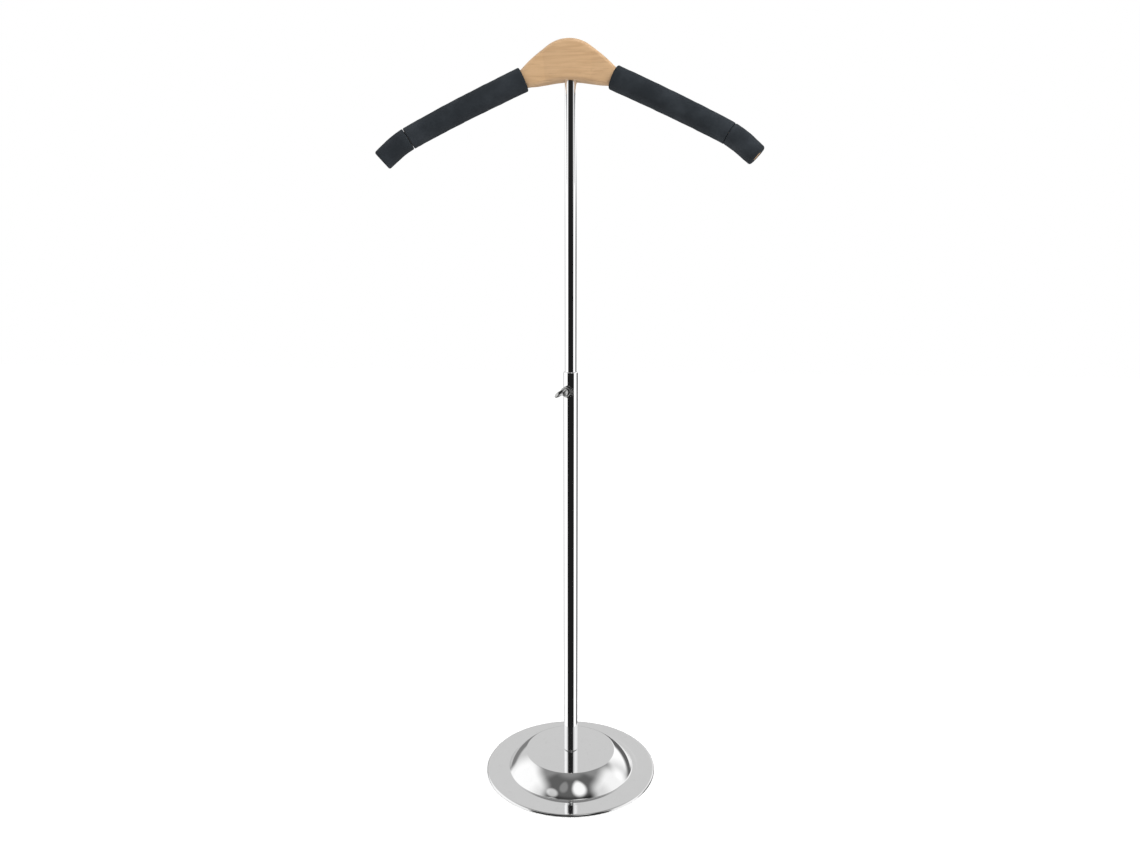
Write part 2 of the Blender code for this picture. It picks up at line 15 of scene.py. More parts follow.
import bmesh
import bpy
import numpy as np
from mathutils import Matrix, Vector


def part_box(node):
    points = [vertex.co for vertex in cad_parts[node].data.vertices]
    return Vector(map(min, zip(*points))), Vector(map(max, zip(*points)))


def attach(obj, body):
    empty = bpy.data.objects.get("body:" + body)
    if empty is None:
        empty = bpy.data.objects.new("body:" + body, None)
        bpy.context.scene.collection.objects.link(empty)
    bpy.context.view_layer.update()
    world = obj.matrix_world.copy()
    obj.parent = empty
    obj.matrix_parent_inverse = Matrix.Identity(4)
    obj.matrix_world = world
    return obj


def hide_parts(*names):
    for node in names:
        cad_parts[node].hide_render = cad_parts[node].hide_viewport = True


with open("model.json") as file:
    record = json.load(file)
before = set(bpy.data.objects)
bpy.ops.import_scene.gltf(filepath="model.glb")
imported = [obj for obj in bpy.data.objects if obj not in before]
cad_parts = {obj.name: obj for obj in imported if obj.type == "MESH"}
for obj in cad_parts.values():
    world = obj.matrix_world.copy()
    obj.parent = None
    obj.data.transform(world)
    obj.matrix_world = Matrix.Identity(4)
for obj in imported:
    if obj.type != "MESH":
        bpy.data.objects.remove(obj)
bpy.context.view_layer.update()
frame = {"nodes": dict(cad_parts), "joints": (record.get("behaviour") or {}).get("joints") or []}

MM = 0.001
NUDGE = 0.1 * MM     # keeps a straight off the last point of the arc beside it

# %% [markdown]
# ## Surfaces from arrays
#
# Every new piece here is a grid of points: its rows follow a profile or a path, and its columns
# go round it. A grid can be joined into a closed skin in three ways. Its columns always wrap
# round. Its rows can also wrap, as in a ring with a wall, or its two end rows can be closed with
# a fan of triangles, as in a solid bar. Computing whole arrays keeps the formulas readable and
# avoids a Python loop over vertices.

# %% Grid helpers


def grid_faces(rows, columns, wrap_rows):
    """Quads between neighbouring grid points, as vertex numbers row * columns + column."""
    i = np.arange(rows if wrap_rows else rows - 1)[:, None]
    j = np.arange(columns)[None, :]
    below, beside = (i + 1) % rows, (j + 1) % columns
    corners = [i * columns + j, i * columns + beside, below * columns + beside,
               below * columns + j]
    return np.stack(np.broadcast_arrays(*corners), axis=-1).reshape(-1, 4)


def grid_mesh(name, grid, wrap_rows=False, sharp=35):
    """A closed mesh from an array of rows by columns by 3. Without wrap_rows each end row is
    fanned to its own middle point. Normals are turned outwards on the finished skin."""
    rows, columns = grid.shape[:2]
    points = grid.reshape(-1, 3)
    faces = grid_faces(rows, columns, wrap_rows).tolist()
    if not wrap_rows:
        ends = np.stack([grid[0].mean(axis=0), grid[-1].mean(axis=0)])
        points = np.vstack([points, ends])
        j = np.arange(columns)
        beside, last = (j + 1) % columns, (rows - 1) * columns
        first_fan = np.stack([beside, j, np.full(columns, rows * columns)], axis=1)
        last_fan = np.stack([last + j, last + beside, np.full(columns, rows * columns + 1)],
                            axis=1)
        faces += first_fan.tolist() + last_fan.tolist()
    mesh = bpy.data.meshes.new(name)
    mesh.from_pydata(points.tolist(), [], faces)
    shape = bmesh.new()
    shape.from_mesh(mesh)
    bmesh.ops.recalc_face_normals(shape, faces=shape.faces)
    shape.to_mesh(mesh)
    shape.free()
    mesh.shade_smooth()
    mesh.set_sharp_from_angle(angle=math.radians(sharp))
    return mesh


def add_piece(name, mesh, body, nodes, material):
    """Put a mesh into the scene as the finished stand-in for one or more solids."""
    piece = bpy.data.objects.new(name, mesh)
    bpy.context.scene.collection.objects.link(piece)
    mesh.materials.append(material)
    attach(piece, body)
    if nodes:
        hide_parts(*nodes)
    print(f"{name}: {len(mesh.polygons)} faces on {body}")
    return piece


def arc(centre, radius, start, end, steps):
    """Points centre + radius * (cos a, sin a) for angles a from start to end."""
    a = np.linspace(start, end, steps + 1)
    return np.stack([centre[0] + radius * np.cos(a), centre[1] + radius * np.sin(a)], axis=1)


def line(start, end, steps):
    """Evenly spaced points from start to end, both included."""
    share = np.linspace(0.0, 1.0, steps + 1)[:, None]
    return np.asarray(start) * (1 - share) + np.asarray(end) * share


def turned(profile, sides):
    """Revolve a profile of (radius, height): point = (r cos t, r sin t, z)."""
    t = np.linspace(0.0, math.tau, sides, endpoint=False)
    radius, height = profile[:, 0, None], profile[:, 1, None]
    return np.stack([radius * np.cos(t), radius * np.sin(t), height + 0 * t], axis=-1)


# %% [markdown]
# ## Shader maths as Python
#
# A material is a graph of nodes, and a graph is slow to read. One small class wraps a node's
# output, so that `grain * 0.3 + 0.5` adds the Math nodes itself. Everything else goes through
# one method that makes any node from its type, its settings and its inputs.

# %% The shader classes


class Wire:
    """One number of a material that varies over the surface."""

    def __init__(self, finish, socket):
        self.finish = finish
        self.socket = socket

    def math(self, operation, *values):
        return self.finish.node("ShaderNodeMath", {"operation": operation},
                                dict(enumerate(values)))

    def __add__(self, other):
        return self.math("ADD", self, other)

    def __sub__(self, other):
        return self.math("SUBTRACT", self, other)

    def __rsub__(self, other):
        return self.math("SUBTRACT", other, self)

    def __mul__(self, other):
        return self.math("MULTIPLY", self, other)

    __radd__ = __add__
    __rmul__ = __mul__

    def power(self, exponent):
        return self.math("POWER", self, exponent)

    def between(self, low, high):
        """0 below low, 1 above high, with a smooth step from one to the other."""
        return self.finish.node("ShaderNodeMapRange", {"interpolation_type": "SMOOTHSTEP"},
                                {"Value": self, "From Min": low, "From Max": high})


class Finish:
    """The nodes of one material or of the world."""

    def __init__(self, tree):
        self.tree = tree

    def node(self, kind, settings=None, inputs=None, output=0):
        made = self.tree.nodes.new(kind)
        for key, value in (settings or {}).items():
            setattr(made, key, value)
        for key, value in (inputs or {}).items():
            if isinstance(value, Wire):
                self.tree.links.new(value.socket, made.inputs[key])
            else:
                made.inputs[key].default_value = value
        return Wire(self, made.outputs[output])

    def place(self, stretch=(1, 1, 1), turn=(0, 0, 0)):
        """The object's own coordinates in metres, turned and then scaled."""
        where = self.node("ShaderNodeTexCoord", output="Object")
        return self.node("ShaderNodeMapping", None,
                         {"Vector": where, "Scale": stretch, "Rotation": turn})

    def noise(self, where, scale, detail=4.0, rough=0.55, warp=0.0):
        return self.node("ShaderNodeTexNoise", None,
                         {"Vector": where, "Scale": scale, "Detail": detail,
                          "Roughness": rough, "Distortion": warp})

    def cells(self, where, scale):
        """Distance to the nearest point of a scattered set, for pores and grit."""
        return self.node("ShaderNodeTexVoronoi", None, {"Vector": where, "Scale": scale})

    def blend(self, factor, first, second):
        """A colour that goes from first to second as factor goes from 0 to 1."""
        return self.node("ShaderNodeMix", {"data_type": "RGBA"},
                         {"Factor": factor, 6: first, 7: second}, output=2)

    def bump(self, height, strength, distance, normal=None):
        inputs = {"Height": height, "Strength": strength, "Distance": distance}
        if normal is not None:
            inputs["Normal"] = normal
        return self.node("ShaderNodeBump", None, inputs)


def new_finish(name):
    """An empty material and the node helper for it."""
    material = bpy.data.materials.new(name)
    material.use_nodes = True
    return material, Finish(material.node_tree)


def dress(material, finish, sockets):
    """Set or connect the Principled shader's sockets."""
    shader = material.node_tree.nodes["Principled BSDF"]
    for name, value in sockets.items():
        if isinstance(value, Wire):
            finish.tree.links.new(value.socket, shader.inputs[name])
        elif name == "Base Color":
            shader.inputs[name].default_value = (*value, 1.0)
        else:
            shader.inputs[name].default_value = value
    return material


# %% [markdown]
# ## Polished chrome
#
# Chrome is a metal with almost no roughness, so what it shows is the room. What makes it look
# real is how it fails to be perfect: polishing leaves faint smears that change the roughness a
# little, and the sheet underneath has a very shallow waviness that bends reflections. The base
# was buffed all over, so its smears have no direction. The tubes were polished along their
# length, so theirs are long and upright.

# %% Chrome finishes


def chrome_finish(name, colour, stretch, wave, roughness):
    material, finish = new_finish(name)
    smear = finish.noise(finish.place(stretch), 1.0, 5.0)
    haze = finish.noise(finish.place((1, 1, 1)), 14.0, 3.0)
    grime = finish.noise(finish.place((1, 1, 1)), 160.0, 2.0).between(0.60, 0.78)
    light, dull = (*colour, 1.0), (*[c * 0.93 for c in colour], 1.0)
    tint = finish.blend(smear * 0.5 + grime * 0.5, light, dull)
    rough = roughness + smear * 0.035 + haze.between(0.45, 0.8) * 0.015 + grime * 0.012
    ripple = finish.noise(finish.place(wave), 1.0, 1.0)
    normal = finish.bump(ripple, 0.10, 0.0004)
    return dress(material, finish, {"Base Color": tint, "Metallic": 1.0, "Roughness": rough,
                                    "Normal": normal})


tube_chrome = chrome_finish("tube_chrome", (0.93, 0.93, 0.935), (900, 900, 9), (9, 9, 3), 0.02)
base_chrome = chrome_finish("base_chrome", (0.80, 0.80, 0.80), (60, 60, 60), (22, 22, 22), 0.035)
print("chrome finishes:", tube_chrome.name, base_chrome.name)

# %% [markdown]
# ## The clamp's plating
#
# The nut and the thumb screw are small castings with a duller nickel plate. Their skin is
# slightly pitted, and handling has stained it in soft patches.

# %% Nickel finish


def nickel_finish():
    material, finish = new_finish("clamp_nickel")
    pits = finish.noise(finish.place(), 900.0, 6.0, 0.65)
    stain = finish.noise(finish.place(), 260.0, 3.0)
    tint = finish.blend(stain.between(0.35, 0.7), (0.50, 0.50, 0.49, 1), (0.30, 0.30, 0.30, 1))
    rough = 0.14 + pits * 0.06 + stain * 0.06
    normal = finish.bump(pits, 0.15, 0.0001)
    return dress(material, finish, {"Base Color": tint, "Metallic": 1.0, "Roughness": rough,
                                    "Normal": normal})


clamp_nickel = nickel_finish()
print("clamp finish:", clamp_nickel.name)

# %% [markdown]
# ## Maple
#
# The head is cut from one board, with its grain along the arms. The grain is a noise stretched
# a dozen times or more along X and distorted, so that its lines wander. On top of it lie
# short darker flecks, fine pores that run with the grain, and a broad, soft change of tone.
# A clear lacquer is a Coat with its own low roughness.

# %% Wood finish


def maple_finish():
    material, finish = new_finish("maple")
    slow = finish.noise(finish.place((6, 30, 14)), 1.0, 2.0)
    bands = finish.noise(finish.place((9, 120, 130)), 1.0, 5.0, 0.6, 1.2)
    lines = finish.noise(finish.place((26, 420, 620)), 1.0, 4.0, 0.6, 0.4)
    flecks = finish.noise(finish.place((70, 300, 640)), 1.0, 3.0, 0.5, 0.3).between(0.62, 0.74)
    pores = finish.noise(finish.place((260, 2600, 3400)), 1.0, 2.0).between(0.58, 0.80)
    pale, honey, brown = (0.60, 0.395, 0.222, 1), (0.47, 0.288, 0.148, 1), (0.27, 0.145, 0.065, 1)
    tone = slow.between(0.3, 0.7) * 0.35 + bands.between(0.36, 0.70) * 0.65
    base = finish.blend(tone, pale, honey)
    lined = finish.blend(lines.between(0.45, 0.8) * 0.30, base, brown)
    flecked = finish.blend(flecks * 0.34 + pores * 0.16, lined, brown)
    rough = 0.38 + lines * 0.10 + pores * 0.15
    height = lines * 0.5 - pores
    normal = finish.bump(height, 0.30, 0.00008)
    return dress(material, finish, {"Base Color": flecked, "Roughness": rough, "Normal": normal,
                                    "Coat Weight": 0.25, "Coat Roughness": 0.28})


maple = maple_finish()
print("wood finish:", maple.name)

# %% [markdown]
# ## Foam
#
# The sleeves are closed-cell foam rubber: almost black with a blue-grey cast, quite matte, with
# a skin of cells about half a millimetre wide. Cells are a Voronoi pattern that feeds a
# Bump. A slower noise makes rubbed, slightly greyer patches, which is what keeps a black thing
# from looking like a hole in the picture.

# %% Foam and sheet rubber finishes


def foam_finish(name, dark, grey, cell_scale, strength):
    material, finish = new_finish(name)
    cell = finish.cells(finish.place(), cell_scale)
    fine = finish.noise(finish.place(), cell_scale * 1.7, 3.0, 0.6)
    worn = finish.noise(finish.place(), 34.0, 4.0, 0.6)
    lint = finish.noise(finish.place((1, 1, 1), (0.4, 0.2, 0.9)), 900.0, 2.0).between(0.66, 0.8)
    tone = worn.between(0.35, 0.75) * 0.6 + fine * 0.25 + lint * 0.35
    tint = finish.blend(tone, (*dark, 1), (*grey, 1))
    rough = 0.80 + fine * 0.15 - worn.between(0.5, 0.8) * 0.08
    height = fine * 0.6 - cell
    normal = finish.bump(height, strength, 0.00025)
    return dress(material, finish, {"Base Color": tint, "Roughness": rough, "Normal": normal,
                                    "Specular IOR Level": 0.35})


foam = foam_finish("foam", (0.014, 0.0175, 0.0215), (0.036, 0.043, 0.051), 1700.0, 0.22)
pad_rubber = foam_finish("pad_rubber", (0.012, 0.012, 0.012), (0.035, 0.035, 0.034), 900.0, 0.6)
print("foam and rubber finishes:", foam.name, pad_rubber.name)

# %% [markdown]
# ## Finishes of the hidden pieces
#
# The ballast, the bolt and its washers, the threaded plugs and the nylon parts are out of
# sight, but someone who takes the stand apart will see them. Their solids are right as they
# are, so they only need a finish each.

# %% Plain steel, iron and nylon


def metal_finish(name, light, dark, stretch, roughness, strength):
    material, finish = new_finish(name)
    brushed = finish.noise(finish.place(stretch), 1.0, 5.0)
    spots = finish.noise(finish.place(), 210.0, 4.0).between(0.5, 0.75)
    tint = finish.blend(brushed * 0.6 + spots * 0.4, (*light, 1), (*dark, 1))
    normal = finish.bump(brushed, strength, 0.0002)
    return dress(material, finish, {"Base Color": tint, "Metallic": 1.0,
                                    "Roughness": roughness + brushed * 0.2,
                                    "Normal": normal})


def nylon_finish():
    material, finish = new_finish("nylon")
    cloud = finish.noise(finish.place(), 180.0, 3.0)
    scuff = finish.noise(finish.place((900, 900, 60)), 1.0, 3.0).between(0.55, 0.8)
    tint = finish.blend(cloud * 0.6 + scuff * 0.4, (0.80, 0.78, 0.72, 1), (0.62, 0.60, 0.54, 1))
    return dress(material, finish, {"Base Color": tint, "Roughness": 0.40 + scuff * 0.25,
                                    "Normal": finish.bump(cloud, 0.2, 0.0001)})


zinc = metal_finish("plated_steel", (0.66, 0.66, 0.63), (0.46, 0.46, 0.44), (500, 500, 40),
                    0.25, 0.3)
iron = metal_finish("ballast_iron", (0.14, 0.14, 0.14), (0.05, 0.05, 0.05), (300, 300, 300),
                    0.50, 0.8)
nylon = nylon_finish()
kept_nodes = {"ballast_disc": iron, "base_bolt": zinc, "flat_washer": zinc,
              "spring_washer": zinc, "lower_tube_plug": zinc, "upper_tube_plug": zinc,
              "hanger_stud": zinc, "slider_bush": nylon, "screw_tip": nylon}
for node_name, finish_material in kept_nodes.items():
    kept_mesh = frame["nodes"][node_name].data
    kept_mesh.materials.clear()
    kept_mesh.materials.append(finish_material)
print("kept solids:", len(kept_nodes))

# %% [markdown]
# ## The stamped base
#
# The base is one disc of steel sheet, pressed into a low dome with a flat top, with its rim
# turned down. A mirror finish shows every facet, so the profile is drawn finely: flat top, a
# rounded crease, a side that bulges along a circular arc, a small fillet with a shallow bead
# where the die gripped the sheet, the flat flange, and the rolled rim. The underside is the
# same line moved in by the sheet's thickness.

# %% Base cover
cover_low, cover_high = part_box("base_cover")
SHEET = 1.2 * MM
RIM_DROP = 2.2 * MM
RIM_ROUND = 1.5 * MM
BASE_RADIUS = cover_high.x
FLANGE_TOP = cover_low.z + RIM_DROP
PLATEAU_TOP = cover_high.z
DOME_FOOT, PLATEAU = 73.5 * MM, 52.4 * MM
DOME_BULGE = math.radians(12)
CREASE_ROUND, FOOT_ROUND = 2.5 * MM, 1.6 * MM
BOLT_HOLE = 4.2 * MM
BEAD_OUT, BEAD_WIDTH, BEAD_HEIGHT = 3.1 * MM, 1.1 * MM, 0.25 * MM
COVER_SIDES = 288


def dome_profile():
    """(radius, height) from the bolt hole to the rim: the dome's side is an arc whose chord
    joins the crease to the foot and whose ends turn by DOME_BULGE from that chord."""
    run, rise = DOME_FOOT - PLATEAU, PLATEAU_TOP - FLANGE_TOP
    steep = math.atan2(rise, run)
    top_slope, foot_slope = steep - DOME_BULGE, steep + DOME_BULGE
    radius = math.hypot(run, rise) / (2 * math.sin(DOME_BULGE))
    centre = (PLATEAU - radius * math.sin(top_slope), PLATEAU_TOP - radius * math.cos(top_slope))
    crease_trim = CREASE_ROUND * math.tan(top_slope / 2)
    foot_trim = FOOT_ROUND * math.tan(foot_slope / 2)
    first = math.pi / 2 - top_slope - crease_trim / radius
    last = math.pi / 2 - foot_slope + foot_trim / radius
    flange_start = (DOME_FOOT + foot_trim, FLANGE_TOP)
    flange_end = (BASE_RADIUS - RIM_ROUND, FLANGE_TOP)
    return np.vstack([
        line((BOLT_HOLE, PLATEAU_TOP), (PLATEAU - crease_trim - NUDGE, PLATEAU_TOP), 8),
        arc((PLATEAU - crease_trim, PLATEAU_TOP - CREASE_ROUND), CREASE_ROUND,
            math.pi / 2, math.pi / 2 - top_slope, 10),
        arc(centre, radius, first, last, 28)[1:],
        arc((flange_start[0], FLANGE_TOP + FOOT_ROUND), FOOT_ROUND,
            -math.pi / 2 - foot_slope, -math.pi / 2, 10)[1:],
        line((flange_start[0] + NUDGE, FLANGE_TOP), flange_end, 10),
        arc((flange_end[0], FLANGE_TOP - RIM_ROUND), RIM_ROUND, math.pi / 2, 0.0, 10)[1:],
        line((BASE_RADIUS, FLANGE_TOP - RIM_ROUND - NUDGE), (BASE_RADIUS, cover_low.z), 2)])


def foot_bead(profile):
    """Raise the sheet by a shallow ring just outside the dome's foot: a bell curve of the
    distance to the ring."""
    away = (profile[:, 0] - (DOME_FOOT + BEAD_OUT)) / BEAD_WIDTH
    on_flange = profile[:, 0] > DOME_FOOT
    lifted = profile.copy()
    lifted[:, 1] += BEAD_HEIGHT * np.exp(-away ** 2) * on_flange
    return lifted


def moved_in(profile, distance):
    """The profile offset along its own normal, with mitred corners."""
    steps = np.diff(profile, axis=0)
    steps /= np.linalg.norm(steps, axis=1)[:, None]
    before, after = np.vstack([steps[:1], steps]), np.vstack([steps, steps[-1:]])
    middle = before + after
    middle /= np.linalg.norm(middle, axis=1)[:, None]
    share = np.maximum(np.einsum("ij,ij->i", middle, before), 0.5)
    normal = np.stack([middle[:, 1], -middle[:, 0]], axis=1)
    return profile + normal * (distance / share)[:, None]


upper_side = dome_profile()
cover_profile = np.vstack([foot_bead(upper_side), moved_in(upper_side, SHEET)[::-1]])
cover_mesh = grid_mesh("stamped_cover", turned(cover_profile, COVER_SIDES), wrap_rows=True,
                       sharp=50)
add_piece("stamped_cover", cover_mesh, "stand", ["base_cover"], base_chrome)

# %% [markdown]
# ## The pad under the base
#
# A sheet of non-slip rubber closes the underside. It is a plain disc, but its edge was die-cut
# and is slightly rounded, and its underside carries the shallow rings that stop it sliding.
# They are cut upwards, so the pad still rests on its lowest face.

# %% Base pad
pad_low, pad_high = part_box("base_pad")
PAD_ROUND = 0.4 * MM
PAD_MIDDLE = 0.5 * MM
GROOVE_PITCH, GROOVE_DEPTH = 6.0 * MM, 0.25 * MM
GROOVES_FROM = 8.0 * MM
PAD_SIDES = 128


def pad_profile():
    """From the middle of the top round the edge to the middle of the underside. A groove is
    cut where a cosine of the radius is high, up to its full depth."""
    edge, inset = pad_high.x, pad_high.x - PAD_ROUND
    top = line((PAD_MIDDLE, pad_high.z), (inset, pad_high.z), 4)
    rim = np.vstack([
        arc((inset, pad_high.z - PAD_ROUND), PAD_ROUND, math.pi / 2, 0, 4)[1:],
        arc((inset, pad_low.z + PAD_ROUND), PAD_ROUND, 0, -math.pi / 2, 4)])
    radius = np.linspace(inset - 2 * NUDGE, PAD_MIDDLE, 220)
    groove = np.clip(np.cos(radius / GROOVE_PITCH * math.tau) * 4 - 2.4, 0, 1)
    groove *= (radius < edge - GROOVE_PITCH) & (radius > GROOVES_FROM)
    under = np.stack([radius, pad_low.z + GROOVE_DEPTH * groove], axis=1)
    return np.vstack([top, rim, under])


pad_mesh = grid_mesh("rubber_pad", turned(pad_profile(), PAD_SIDES), sharp=40)
add_piece("rubber_pad", pad_mesh, "stand", ["base_pad"], pad_rubber)

# %% [markdown]
# ## The two tubes
#
# Each tube is a thin wall, so its profile runs up the outside, over the end and down the
# bore, and the rows wrap. The lower tube's mouth is rolled in until it just clears the upper
# tube, and its foot is rounded. The upper tube has square ends with a hair of a bevel, and
# both are out of sight.

# %% Lower and upper tube
lower_low, lower_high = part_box("lower_tube")
upper_low, upper_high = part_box("upper_tube")
LOWER_RADIUS, UPPER_RADIUS = lower_high.x, upper_high.x
LOWER_WALL, UPPER_WALL = 1.0 * MM, 0.9 * MM
MOUTH_ROUND = 1.3 * MM
LIP_RADIUS, LIP_ROUND = UPPER_RADIUS + 0.4 * MM, 0.3 * MM
TUBE_FOOT_ROUND = 0.9 * MM
CUT_BEVEL = 0.15 * MM
TUBE_SIDES = 128


def lower_tube_profile():
    """(radius, height) up the outside, round the rolled mouth and down the bore."""
    foot, mouth, bore = lower_low.z, lower_high.z, LOWER_RADIUS - LOWER_WALL
    return np.vstack([
        arc((LOWER_RADIUS - TUBE_FOOT_ROUND, foot + TUBE_FOOT_ROUND), TUBE_FOOT_ROUND,
            -math.pi / 2, 0, 6),
        line((LOWER_RADIUS, foot + TUBE_FOOT_ROUND + 2 * NUDGE),
             (LOWER_RADIUS, mouth - MOUTH_ROUND - NUDGE), 24),
        arc((LOWER_RADIUS - MOUTH_ROUND, mouth - MOUTH_ROUND), MOUTH_ROUND, 0, math.pi / 2, 12),
        arc((LIP_RADIUS + LIP_ROUND, mouth - LIP_ROUND), LIP_ROUND, math.pi / 2, math.pi, 4)[1:],
        line((LIP_RADIUS, mouth - LOWER_WALL), (bore, mouth - 2.2 * LOWER_WALL), 3),
        line((bore, mouth - 3 * LOWER_WALL), (bore, foot), 12)])


def upper_tube_profile():
    """(radius, height) up the outside and down the bore, with a bevel at each corner."""
    foot, top = upper_low.z, upper_high.z
    bore, bevel = UPPER_RADIUS - UPPER_WALL, CUT_BEVEL
    outside = line((UPPER_RADIUS, foot + bevel), (UPPER_RADIUS, top - bevel), 24)
    inside = line((bore, top - bevel), (bore, foot + bevel), 12)
    return np.vstack([outside, [(UPPER_RADIUS - bevel, top), (bore + bevel, top)], inside,
                      [(bore + bevel, foot), (UPPER_RADIUS - bevel, foot)]])


lower_mesh = grid_mesh("chrome_lower_tube", turned(lower_tube_profile(), TUBE_SIDES),
                       wrap_rows=True)
add_piece("chrome_lower_tube", lower_mesh, "stand", ["lower_tube"], tube_chrome)
upper_mesh = grid_mesh("chrome_upper_tube", turned(upper_tube_profile(), TUBE_SIDES),
                       wrap_rows=True)
add_piece("chrome_upper_tube", upper_mesh, "mast", ["upper_tube"], tube_chrome)

# %% [markdown]
# ## The welded nut
#
# A hexagon's outline is a radius that depends on the angle: half the width across flats,
# divided by the cosine of the angle to the nearest flat. A turned chamfer is a cone, and the
# nut's skin is wherever the smaller of the two lies. Its foot is shaped to the tube, so each
# point of the foot sits on the tube's own surface.

# %% Clamp axes
screw = next(j for j in frame["joints"] if j["name"] == "screw_turn")
OUTWARD = np.array(screw["axis"], float)
SCREW_PLACE = np.array([0.0, 0.0, screw["pos_m"][2]])
UPRIGHT = np.array([0.0, 0.0, 1.0])
SIDEWAYS = np.cross(UPRIGHT, OUTWARD)


def on_screw_axis(across, up, along):
    """Points from three arrays: sideways, upwards and outwards from the pole's axis."""
    return (SCREW_PLACE + across[..., None] * SIDEWAYS + up[..., None] * UPRIGHT
            + along[..., None] * OUTWARD)


print("screw axis:", OUTWARD.round(3), "height:", SCREW_PLACE[2])

# %% Nut
NUT_FLATS = 11.0 * MM
NUT_FACE = LOWER_RADIUS + 3.7 * MM
NUT_BORE, NUT_MOUTH = 3.25 * MM, 0.35 * MM
THREAD_DEPTH = 0.22 * MM
CHAMFER_SLOPE = 1.7


def hexagon_radius(angle, flats):
    """Half the flats over the cosine of the angle to the nearest flat; corners up and down."""
    off_flat = (angle + math.pi / 6) % (math.pi / 3) - math.pi / 6
    return flats / 2 / np.cos(off_flat)


def nut_grid():
    """Rows run up the flats, over the chamfered face, and down a threaded bore. A bore row's
    radius is a triangle wave of height minus angle, which draws the thread's helix."""
    angle = np.linspace(0, math.tau, 96, endpoint=False)
    corner = hexagon_radius(angle, NUT_FLATS)
    foot = np.sqrt(LOWER_RADIUS ** 2 - (corner * np.cos(angle)) ** 2) + 0.05 * MM
    rows = [(corner, foot)]
    for share in np.linspace(0.2, 1.0, 10):
        height = foot + (NUT_FACE - foot) * share
        cone = NUT_FLATS / 2 + NUDGE + (NUT_FACE - height) * CHAMFER_SLOPE
        rows.append((np.minimum(corner, cone), height))
    rows.append((0 * angle + NUT_FLATS / 2 - 0.5 * MM, 0 * angle + NUT_FACE))
    rows.append((0 * angle + NUT_BORE + NUT_MOUTH, 0 * angle + NUT_FACE))
    for height in np.linspace(NUT_FACE - NUT_MOUTH, LOWER_RADIUS - 0.4 * MM, 32):
        turn = (height / MM - angle / math.tau) % 1.0
        ridge = np.abs(turn * 2 - 1)
        rows.append((NUT_BORE + THREAD_DEPTH * ridge, 0 * angle + height))
    radius = np.stack([row[0] for row in rows])
    along = np.stack([row[1] for row in rows])
    return on_screw_axis(radius * np.cos(angle), radius * np.sin(angle), along)


add_piece("welded_nut", grid_mesh("welded_nut", nut_grid(), wrap_rows=True, sharp=25),
          "stand", ["clamp_nut"], clamp_nickel)

# %% Weld bead


def bead_grid():
    """A small round bead that follows the nut's foot on the tube. Its path is the hexagon
    half a millimetre out, laid on the tube's surface, and its radius ripples a little."""
    angle = np.linspace(0, math.tau, 144, endpoint=False)
    reach = hexagon_radius(angle, NUT_FLATS) + 0.25 * MM
    across, up = reach * np.cos(angle), reach * np.sin(angle)
    along = np.sqrt(LOWER_RADIUS ** 2 - across ** 2)
    size = 0.55 * MM * (1 + 0.14 * np.sin(angle * 31) * np.sin(angle * 7))
    turn = np.linspace(0, math.tau, 12, endpoint=False)
    swing = size[:, None] * np.cos(turn)
    lift = size[:, None] * np.sin(turn) * 0.8
    return on_screw_axis(across[:, None] + swing * np.cos(angle)[:, None],
                         up[:, None] + swing * np.sin(angle)[:, None],
                         along[:, None] + lift)


add_piece("weld_bead", grid_mesh("weld_bead", bead_grid(), wrap_rows=True), "stand",
          [], clamp_nickel)

# %% [markdown]
# ## The thumb screw
#
# One casting makes the threaded shank, a conical hub and a flat oval paddle. Along its axis it
# is a stack of superellipses: |u / width|^p + |v / thickness|^p = 1. Round sections have equal
# width and thickness and p = 2; the paddle's are wide and thin, with a higher power for its
# flat faces and rounded rim.

# %% Thumb screw
HUB_FOOT = NUT_FACE + 0.6 * MM
HUB_END = HUB_FOOT + 4.5 * MM
COLLAR_END = HUB_FOOT + 1.3 * MM
HUB_WIDE, NECK_WIDE, HUB_THICK = 4.25 * MM, 3.3 * MM, 4.2 * MM
PADDLE_TURN = math.radians(38)
PADDLE_HALF = np.array([8.0 * MM, 1.8 * MM, 6.2 * MM])     # width, thickness, length
PADDLE_MIDDLE = HUB_END + PADDLE_HALF[2] - 1.13 * MM
SHANK_FOOT = UPPER_RADIUS + 2.0 * MM


def screw_stations():
    """Rows of half width, half thickness, distance along the axis and power."""
    hub = [(4.2, 4.2, HUB_FOOT, 2), (4.55, 4.55, HUB_FOOT + 0.3 * MM, 2),
           (4.6, 4.6, HUB_FOOT + 0.9 * MM, 2), (4.3, 4.2, COLLAR_END, 2)]
    stations = [(w * MM, t * MM, along, power) for w, t, along, power in hub]
    for share in np.linspace(0.1, 1.0, 12):
        along = COLLAR_END + (HUB_END - COLLAR_END) * share
        neck = HUB_WIDE + (NECK_WIDE - HUB_WIDE) * share ** 0.8
        thin = HUB_THICK + (PADDLE_HALF[1] - HUB_THICK) * share ** 1.1
        stations.append((neck, thin, along, 2 + 0.7 * share))
    for swing in np.linspace(math.radians(-62), math.radians(88), 34):
        along = PADDLE_MIDDLE + PADDLE_HALF[2] * math.sin(swing)
        if along > HUB_END + NUDGE:
            width = PADDLE_HALF[0] * math.cos(swing)
            thin = PADDLE_HALF[1] * min(1.0, 0.42 + 1.5 * math.cos(swing))
            stations.append((max(width, 0.5 * MM), thin, along, 2.9))
    return np.array(stations)


